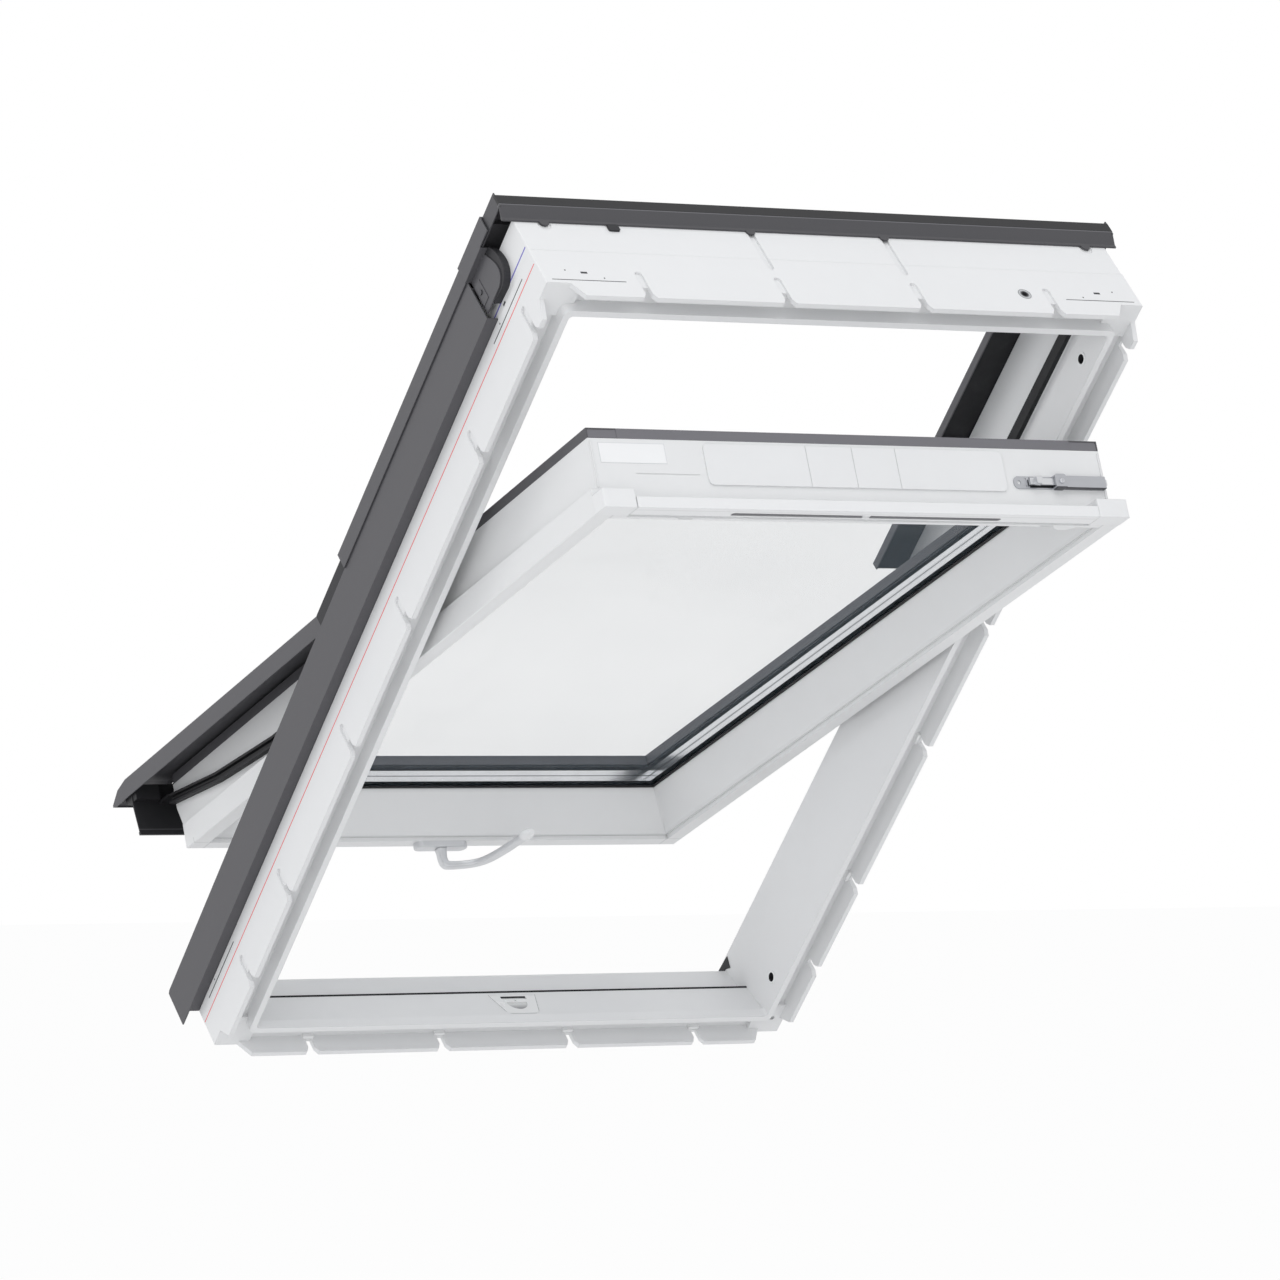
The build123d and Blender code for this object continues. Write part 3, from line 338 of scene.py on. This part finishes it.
# Side and head claddings of the frame. Roll-formed aluminium, coated in a matt dark grey,
# folded over the jambs and the head and screwed through their edges.
def coated_sheet(name, tint, roughness=0.46, edge=0.0005):
    """Powder coat over thin sheet, with a fine texture and a few pale rubs."""
    finish = Finish(name, Roughness=roughness, IOR=1.5, Specular_IOR_Level=0.30)
    fleck = finish.noise(1300.0, 2.0)
    cloud = finish.noise(6.0, 3.0)
    rub = finish.noise(85.0, 6.0, 0.75)
    paler = shade(tint, 1.28, 0.010)
    finish.colour(finish.mix((cloud * 0.4 + (rub - 0.58).clamp() * 1.1).clamp(), tint, paler))
    finish.feed("Roughness", roughness + (cloud - 0.5) * 0.10 + (rub - 0.5) * 0.08)
    finish.bump(fleck, 0.14, 0.0003, edge)
    return finish


SHEET = rgb(0.083, 0.082, 0.089)
side_sheet = coated_sheet("dark coated side sheet", SHEET)
coat(
    side_sheet, "frame_side_cladding_left", "frame_side_cladding_right", "upper_cover_left",
    "upper_cover_right", "top_corner_left", "top_corner_right", "sill_cladding",
)
# painted shade: the head's sheet is a darker copy of the side sheet
head_sheet_painted_light = coated_sheet("dark coated head sheet with painted light", shade(SHEET, 0.80))
x, y, z = head_sheet_painted_light.along(PITCH, (0.0, BATTEN_LINE))
# painted shade on the fold above the lip, which turns away from the light, and a thin painted highlight
# along its edge
head_sheet_painted_light.paint((y > FRAME_TOP + 0.006) * z.between(0.1225, 0.137), rgb(0.016, 0.016, 0.018))
head_sheet_painted_light.paint((y > FRAME_TOP + 0.004) * z.near(0.1222, 0.0004), rgb(0.16, 0.16, 0.17))
coat(head_sheet_painted_light, "head_cladding")


# Corner pieces and end plates. Black glass-filled mouldings that close the corners of the
# claddings, plus the head's clip. They are pushed on and held by one screw each.
def moulded_black(name, tint, roughness=0.55):
    """Black moulding with a fine spark texture."""
    finish = Finish(name, Roughness=roughness, IOR=1.48, Specular_IOR_Level=0.25)
    spark = finish.noise(800.0, 3.0, 0.6)
    cloud = finish.noise(14.0, 4.0)
    finish.colour(finish.mix(cloud * 0.6, tint, shade(tint, 1.5)))
    finish.feed("Roughness", roughness + (spark - 0.5) * 0.16)
    finish.bump(spark, 0.22, 0.0003, 0.0006)
    return finish


corner_black = moulded_black("moulded corner black", rgb(0.030, 0.030, 0.033))
coat(
    corner_black, "corner_seal_left", "corner_seal_right", "sill_end_plate_left",
    "sill_end_plate_right", "hinge_cover_left", "hinge_cover_right", "head_clip",
)


# Screws. Pan heads with a cross recess, in blackened steel on the claddings and zinc plated
# on the fittings, driven until they sit flat.
def bare_metal(name, tint, roughness, along=(1.0, 60.0, 60.0), strength=0.10, metal=1.0):
    """Rolled or plated metal with a fine grain one way."""
    finish = Finish(name, Roughness=roughness, Metallic=metal)
    stretched = finish.node(
        "ShaderNodeMapping", {}, {"Vector": finish.place(), "Scale": tuple(20 * s for s in along)}
    )
    grain = finish.noise(1.0, 4.0, 0.6, stretched)
    patch = finish.noise(45.0, 4.0, 0.6)
    finish.colour(finish.mix((grain * 0.5 + patch * 0.4).clamp(), tint, shade(tint, 0.80)))
    finish.feed("Roughness", roughness + (patch - 0.5) * 0.16 + (grain - 0.5) * 0.1)
    finish.bump(grain, strength, 0.0002, 0.0003)
    return finish


screw_steel = bare_metal("blackened screw steel", rgb(0.10, 0.10, 0.11), 0.45)
coat(screw_steel, "cladding_screws")


def made_piece(net, name, finish, smooth=()):
    """Links a net as a new piece; faces with these numbers of corners are smooth."""
    mesh = bpy.data.meshes.new(name)
    net.to_mesh(mesh)
    net.free()
    for face in mesh.polygons:
        face.use_smooth = len(face.vertices) in smooth
    piece = bpy.data.objects.new(name, mesh)
    bpy.context.collection.objects.link(piece)
    mesh.materials.append(finish.material)
    return piece


def cross_screw(name, body, axes, place, look, radius, finish):
    """Domed screw head with a cross recess, looking along the given direction."""
    net = bmesh.new()
    rings, parts = 7, 32
    rows = []
    for ring in range(rings + 1):
        share = ring / rings
        row = []
        for part in range(parts):
            turn = 2 * pi * part / parts
            a, b = radius * share * cos(turn), radius * share * sin(turn)
            height = 0.34 * radius * (1 - share**2) ** 0.5
            arm = min(abs(a), abs(b)) < 0.17 * radius and max(abs(a), abs(b)) < 0.62 * radius
            row.append(net.verts.new((a, b, height - (0.30 * radius if arm else 0.0))))
        rows.append(row)
    for inner, outer in zip(rows, rows[1:]):
        for part in range(parts):
            after = (part + 1) % parts
            net.faces.new((inner[part], outer[part], outer[after], inner[after]))
    bmesh.ops.remove_doubles(net, verts=net.verts, dist=radius * 1e-3)
    turned = Vector(look).to_track_quat("Z", "X").to_matrix().to_4x4()
    bmesh.ops.transform(net, matrix=axes @ Matrix.Translation(place) @ turned, verts=net.verts)
    piece = made_piece(net, name, finish, smooth=(3, 4))
    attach(piece, body)


# Hinges. Zinc-plated pressings screwed to the jambs at half height, with a friction pin that
# the sash turns on. A strap on the sash's side carries the pin's eye.
plated_steel = bare_metal("zinc plated steel", rgb(0.62, 0.63, 0.66), 0.36)
coat(plated_steel, "hinge_frame_left", "hinge_frame_right", "hinge_sash_left", "hinge_sash_right")
for hand, sign in (("left", 1), ("right", -1)):
    for number, (up, out) in enumerate(((0.566, 0.080), (0.566, 0.098), (0.634, 0.080))):
        cross_screw(
            f"hinge_screw_{hand}_{number}", "frame", FRAME_AXES,
            (sign * 0.350, up, out), (-sign, 0, 0), 0.0034, plated_steel,
        )


# Sash. The same foamed white skin as the frame, round a double-glazed unit. Its reveal slopes
# in to the glass, and the mould's corner joints stand out as fine pale lines.
SASH_PITCH = PITCH - radians(26.2)
SASH_SHIFT = (0.103146, -0.219248)
SASH_OPENING = Matrix.Translation((0, -SASH_SHIFT[0], -SASH_SHIFT[1]))
SASH_AXES = Matrix.Rotation(SASH_PITCH, 4, "X") @ SASH_OPENING
sash_white = moulded_white("moulded sash white", rgb(0.80, 0.805, 0.808), 0.38)
x, y, z = sash_white.along(SASH_PITCH, SASH_SHIFT)
side = abs(x)
# a shade less light in the fine steps beside the reveal
STEP_SHADE = rgb(0.42, 0.43, 0.43)
sash_white.paint(side.near(0.3200, 0.0012) * (z < 0.031) * 0.35, STEP_SHADE)
sash_white.paint(y.near(0.0605, 0.0012) * (z < 0.031) * 0.35, STEP_SHADE)
coat(sash_white, "sash_body")


def closed_skin(net, rows):
    """Joins rings of corners into a skin that is closed at both ends."""
    for first, second in zip(rows, rows[1:]):
        for k in range(len(first)):
            after = (k + 1) % len(first)
            net.faces.new((first[k], first[after], second[after], second[k]))
    net.faces.new(rows[0][::-1])
    net.faces.new(rows[-1])


def bead(name, body, axes, ends, radius, finish):
    """Fine round bead between two points, thinner at its ends."""
    start, end = (Vector(point) for point in ends)
    course = end - start
    across = course.orthogonal().normalized()
    beside = course.cross(across).normalized()
    net = bmesh.new()
    rows = []
    steps, parts = 8, 10
    for step in range(steps + 1):
        share = step / steps
        size = radius * (0.35 + 0.65 * sin(pi * share) ** 0.4)
        middle = start + course * share
        row = []
        for part in range(parts):
            turn = 2 * pi * part / parts
            row.append(net.verts.new(axes @ (middle + size * (cos(turn) * across + sin(turn) * beside))))
        rows.append(row)
    closed_skin(net, rows)
    piece = made_piece(net, name, finish, smooth=(4,))
    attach(piece, body)


for hand, sign in (("left", 1), ("right", -1)):
    bead(
        f"sash_corner_joint_{hand}", "sash", SASH_AXES,
        ((sign * 0.3185, 0.0620, 0.0355), (sign * 0.3062, 0.0743, 0.0872)), 0.0006, sash_white,
    )


# Double-glazed unit. Two panes of float glass with a faint blue-grey cast, a bright folded
# aluminium spacer filled with drying beads between them, and a black seal round the edge.
def float_glass(name, tint, alpha, roughness=0.02):
    """Clear glass that shows what is behind it, with a faint smear."""
    finish = Finish(name, Roughness=roughness, IOR=1.52)
    smear = finish.noise(3.0, 5.0, 0.6)
    finish.colour(finish.mix(smear, tint, shade(tint, 0.92)))
    finish.feed("Roughness", roughness + (smear - 0.5).clamp() * 0.05)
    finish.feed("Alpha", alpha + (smear - 0.5) * 0.04)
    return finish


GLASS_ALPHA = 0.070
inner_glass = float_glass("inner pane glass", rgb(0.14, 0.20, 0.25), GLASS_ALPHA)
coat(inner_glass, "inner_pane")
outer_glass = float_glass("outer pane glass", rgb(0.13, 0.19, 0.24), GLASS_ALPHA)
coat(outer_glass, "outer_pane")

spacer_metal = bare_metal("bright spacer bar", rgb(0.86, 0.87, 0.89), 0.22, (1.0, 1.0, 1.0), 0.05)
x, y, z = spacer_metal.along(SASH_PITCH, SASH_SHIFT)
# seam and rows of breathing holes along the middle of the bar
BAR_MIDDLE = 0.1015
spacer_metal.paint(z.near(BAR_MIDDLE, 0.0007), rgb(0.30, 0.31, 0.32))
holes = ((x * 2200.0).wave() * (y * 2200.0).wave()).clamp() > 0.72
spacer_metal.paint(holes * z.near(BAR_MIDDLE, 0.0022), rgb(0.35, 0.36, 0.37))
coat(spacer_metal, "glazing_spacer")

edge_black = rubber("edge seal rubber", rgb(0.016, 0.016, 0.018), 0.45)
coat(edge_black, "glazing_edge_seal")

glazing_rubber = rubber("glazing rubber", rgb(0.018, 0.018, 0.020), 0.52)
coat(glazing_rubber, "inner_glazing_gasket", "outer_glazing_gasket")


# Sash claddings. The same coated sheet as on the frame: four profiles clipped over the edge
# of the glass, a pair of wide covers on the lower half, and a cap in each end of the top one.
sash_sheet = coated_sheet("dark coated sash sheet", shade(SHEET, 1.05))
coat(
    sash_sheet, "sash_cladding_left", "sash_cladding_right", "sash_cladding_bottom",
    "sash_lower_cover_left", "sash_lower_cover_right",
)
# painted light: the top profile and its caps are a paler copy of the sheet, for the light on their edges
top_sheet_painted_light = coated_sheet("dark coated top sheet with painted light", shade(SHEET, 2.0), 0.40)
coat(top_sheet_painted_light, "sash_cladding_top")


def folded_cap(name, body, axes, outline, depth, finish):
    """Cap bent from sheet: an outline in the plane across the slope, with softened edges."""
    net = bmesh.new()
    closed_skin(net, [[net.verts.new((px, level, pz)) for px, pz in outline] for level in depth])
    bmesh.ops.recalc_face_normals(net, faces=net.faces)
    bmesh.ops.bevel(
        net, geom=list(net.edges), offset=0.0005, segments=2, profile=0.6, affect="EDGES"
    )
    bmesh.ops.transform(net, matrix=axes, verts=net.verts)
    piece = made_piece(net, name, finish)
    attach(piece, body)


CAP_OUTLINE = (
    (0.2955, 0.1160), (0.3335, 0.1160), (0.3335, 0.1240), (0.3320, 0.1262), (0.2955, 0.1262),
)
CAP_DEPTH = (1.1040, 1.1080)
for hand, sign in (("left", 1), ("right", -1)):
    folded_cap(
        f"sash_top_cap_{hand}", "sash", SASH_AXES,
        [(sign * px, pz) for px, pz in CAP_OUTLINE], CAP_DEPTH, top_sheet_painted_light,
    )


# Skirt and side gaskets. A black moulded skirt shuts over the sill, and a double-lipped
# rubber strip runs along each side of the lower half.
skirt_black = moulded_black("moulded skirt black", rgb(0.020, 0.020, 0.022), 0.48)
x, y, z = skirt_black.along(SASH_PITCH, SASH_SHIFT)
# painted highlight: a thin paler line along the skirt
skirt_black.paint(z.near(0.0655, 0.0005), rgb(0.09, 0.09, 0.095))
coat(skirt_black, "bottom_skirt")
side_rubber = rubber("side gasket rubber", rgb(0.022, 0.022, 0.024), 0.58)
coat(side_rubber, "side_gasket_left", "side_gasket_right")


# Top rail. White caps at both ends, a snapped-in panel over the vent's filter, the hinged
# flap with its grip slot lined in grey, and a bare white label.
cap_white = moulded_white("moulded cap white", rgb(0.81, 0.815, 0.82), 0.34, 0.0007, 0.05)
coat(cap_white, "vent_end_left", "vent_end_right", "vent_panel")
flap_white = moulded_white("moulded flap white", rgb(0.82, 0.825, 0.83), 0.32, 0.0007, 0.05)
x, y, z = flap_white.along(SASH_PITCH, SASH_SHIFT)
# painted shadow: a thin grey line across the flap
flap_white.paint(y.near(1.1250, 0.0005) * (z < 0.0252) * 0.5, rgb(0.50, 0.50, 0.50))
coat(flap_white, "vent_flap")
grip_grey = moulded_black("moulded grip grey", rgb(0.30, 0.30, 0.31), 0.40)
coat(grip_grey, "grip_insert")
label_white = moulded_white("bare label foil", rgb(0.90, 0.905, 0.91), 0.22, 0.0001, 0.02)
x, y, z = label_white.along(SASH_PITCH, SASH_SHIFT)
label_rim = ((x > 0.3222) + (x < 0.2398) + (z > 0.1098) + (z < 0.0872)).clamp()
label_white.paint(label_rim * 0.5, rgb(0.55, 0.56, 0.58))
coat(label_white, "blank_label")


# Bolt. A pressed and plated guide with a covered channel, and a flat sliding bar with a
# small square knob that pushes it towards the sockets in the jamb.
BOLT_LINE = 0.0740
guide_steel = bare_metal("plated guide steel", rgb(0.50, 0.51, 0.54), 0.34)
x, y, z = guide_steel.along(SASH_PITCH, SASH_SHIFT)
# painted shade in the covered channel
channel = z.near(BOLT_LINE, 0.0062) * (y < 1.1108) * x.between(-0.262, -0.2305)
guide_steel.paint(channel, rgb(0.05, 0.05, 0.055))
# darker painted shade on the guide's outer end
guide_steel.paint((z < 0.0672) * (y > 1.110) * (x < -0.262), rgb(0.10, 0.10, 0.11))
coat(guide_steel, "bolt_guide")
bar_steel = bare_metal("bright bar steel", rgb(0.70, 0.71, 0.73), 0.30)
coat(bar_steel, "slide_bolt")
cross_screw(
    "bolt_screw", "sash", SASH_AXES,
    (-0.270, 1.1189, BOLT_LINE), (0, 1, 0), 0.0030, plated_steel,
)


# Handle. A die-cast base and lever with a silver coat. Its end is a white moulded grip that
# is pushed on and glued.
handle_silver = bare_metal(
    "silver coated casting", rgb(0.74, 0.75, 0.77), 0.40, (1.0, 1.0, 1.0), 0.06, 0.55
)
coat(handle_silver, "handle_base")

neck_and_arm = [Vector(point) / 1000 for point in (
    (0, 51, 16.2), (0, 51, 10), (0, 51, 3), (-2.5, 51, -3.2), (-9, 51.3, -5), (-27, 53.5, -5),
    (-42.5, 61, -5), (-51.5, 77, -5), (-56.5, 108, -5), (-58.5, 138, -5), (-59, 157.5, -5))]
thickness = [(7.4, 6.6), (6.4, 5.6), (6.0, 5.2), (6.4, 5.0), (6.8, 4.4), (6.8, 4.2),
             (6.9, 4.2), (6.7, 4.2), (6.3, 4.3), (6.1, 4.5), (6.6, 4.9)]


def smooth_row(values, share):
    """Value on a smooth curve through a row of vectors."""
    spot = share * (len(values) - 1)
    at = min(int(spot), len(values) - 2)
    t = spot - at
    a, b, c, d = (values[min(max(at + k, 0), len(values) - 1)] for k in (-1, 0, 1, 2))
    bend = (2 * a - 5 * b + 4 * c - d) * t**2 + (3 * b - a - 3 * c + d) * t**3
    return 0.5 * (2 * b + (c - a) * t + bend)


net = bmesh.new()
rows = []
steps, parts = 80, 28
BESIDE = 0.004
SQUARENESS = 0.55
for step in range(steps + 1):
    share = step / steps
    middle = smooth_row(neck_and_arm, share)
    ahead = smooth_row(neck_and_arm, min(1, share + BESIDE))
    course = (ahead - smooth_row(neck_and_arm, max(0, share - BESIDE))).normalized()
    flat = Vector((course.x, course.y, 0))
    wide = Vector((0, 1, 0)) if flat.length < 0.35 else -Vector((0, 0, 1)).cross(flat).normalized()
    deep = course.cross(wide).normalized()
    half_wide, half_deep = smooth_row([Vector(size) / 1000 for size in thickness], share)
    row = []
    for part in range(parts):
        turn = 2 * pi * part / parts
        a, b = cos(turn), sin(turn)
        a, b = (abs(v) ** SQUARENESS * (1 if v > 0 else -1) for v in (a, b))
        row.append(net.verts.new(SASH_AXES @ (middle + half_wide * a * wide + half_deep * b * deep)))
    rows.append(row)
closed_skin(net, rows)
bmesh.ops.recalc_face_normals(net, faces=net.faces)
lever = made_piece(net, "handle_arm", handle_silver, smooth=(4,))
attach(lever, "handle")
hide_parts("handle_lever")
grip_white = moulded_white("moulded grip white", rgb(0.88, 0.885, 0.89), 0.24, 0.0006, 0.03)
coat(grip_white, "handle_grip")


# Studio. A wide pale floor that the camera sees as white, an overhead soft box, one on each
# side, and a low fill.
FLOOR_LEVEL = -0.75
FLOOR_WHITE = 0.94
PURE_WHITE = rgb(1, 1, 1)


def white_to_eyes(tree, lit, white, output, share):
    """Shows white to the camera and in reflections, and leaves the light as it is."""
    path = tree.nodes.new("ShaderNodeLightPath")
    seen = path.outputs["Is Camera Ray"]
    for ray in ("Is Glossy Ray", "Is Transmission Ray"):
        either = tree.nodes.new("ShaderNodeMath")
        either.operation = "MAXIMUM"
        tree.links.new(seen, either.inputs[0])
        tree.links.new(path.outputs[ray], either.inputs[1])
        seen = either.outputs[0]
    part = tree.nodes.new("ShaderNodeMath")
    part.operation = "MULTIPLY"
    part.inputs[1].default_value = share
    tree.links.new(seen, part.inputs[0])
    both = tree.nodes.new("ShaderNodeMixShader")
    tree.links.new(part.outputs[0], both.inputs[0])
    tree.links.new(lit, both.inputs[1])
    tree.links.new(white, both.inputs[2])
    tree.links.new(both.outputs[0], output.inputs["Surface"])


bpy.ops.mesh.primitive_plane_add(size=60, location=(0, 0, FLOOR_LEVEL))
floor = bpy.context.object
floor.name = "studio_floor"
floor_finish = Finish("studio floor", Roughness=0.9, Base_Color=rgb(0.86, 0.86, 0.86))
floor.data.materials.append(floor_finish.material)
glow = floor_finish.node("ShaderNodeEmission", {}, {"Color": PURE_WHITE, "Strength": 1.0})
white_to_eyes(
    floor_finish.tree, floor_finish.shader.outputs[0], glow.socket,
    floor_finish.tree.nodes["Material Output"], FLOOR_WHITE,
)

world = bpy.data.worlds.new("studio")
bpy.context.scene.world = world
world.use_nodes = True
sky = world.node_tree
sky.nodes["Background"].inputs["Color"].default_value = rgb(0.97, 0.98, 1.0)
sky.nodes["Background"].inputs["Strength"].default_value = 0.78
white_sky = sky.nodes.new("ShaderNodeBackground")
white_sky.inputs["Color"].default_value = PURE_WHITE
white_sky.inputs["Strength"].default_value = 1.0
white_to_eyes(
    sky, sky.nodes["Background"].outputs[0], white_sky.outputs[0], sky.nodes["World Output"], 1.0
)


def soft_box(name, place, target, size, power):
    """Square studio light aimed at a point."""
    lamp = bpy.data.lights.new(name, "AREA")
    lamp.shape = "SQUARE"
    lamp.size = size
    lamp.energy = power
    holder = bpy.data.objects.new(name, lamp)
    bpy.context.collection.objects.link(holder)
    holder.location = place
    holder.rotation_euler = (Vector(target) - Vector(place)).to_track_quat("-Z", "Y").to_euler()


soft_box("overhead", (0.5, 2.0, 4.2), (0, 0.3, 0.4), size=3.0, power=34)
soft_box("camera side", (4.6, 4.2, 1.2), (0, 0.3, 0.4), size=2.4, power=28)
soft_box("left side", (3.8, -2.6, 2.4), (0.2, 0.3, 0.4), size=2.4, power=32)
soft_box("low fill", (1.4, 4.4, -0.55), (0, 0.3, 0.5), size=2.2, power=26)

camera = bpy.data.cameras.new("photo camera")
camera.lens = 188.796
camera.sensor_width = 36.0
camera.clip_end = 200.0
viewer = bpy.data.objects.new("photo camera", camera)
bpy.context.collection.objects.link(viewer)
viewer.location = (3.94019, 7.17967, 0.32888)
viewer.rotation_euler = (1.586724, 0.0, 2.617624)
bpy.context.scene.camera = viewer
bpy.context.scene.view_settings.view_transform = "Standard"
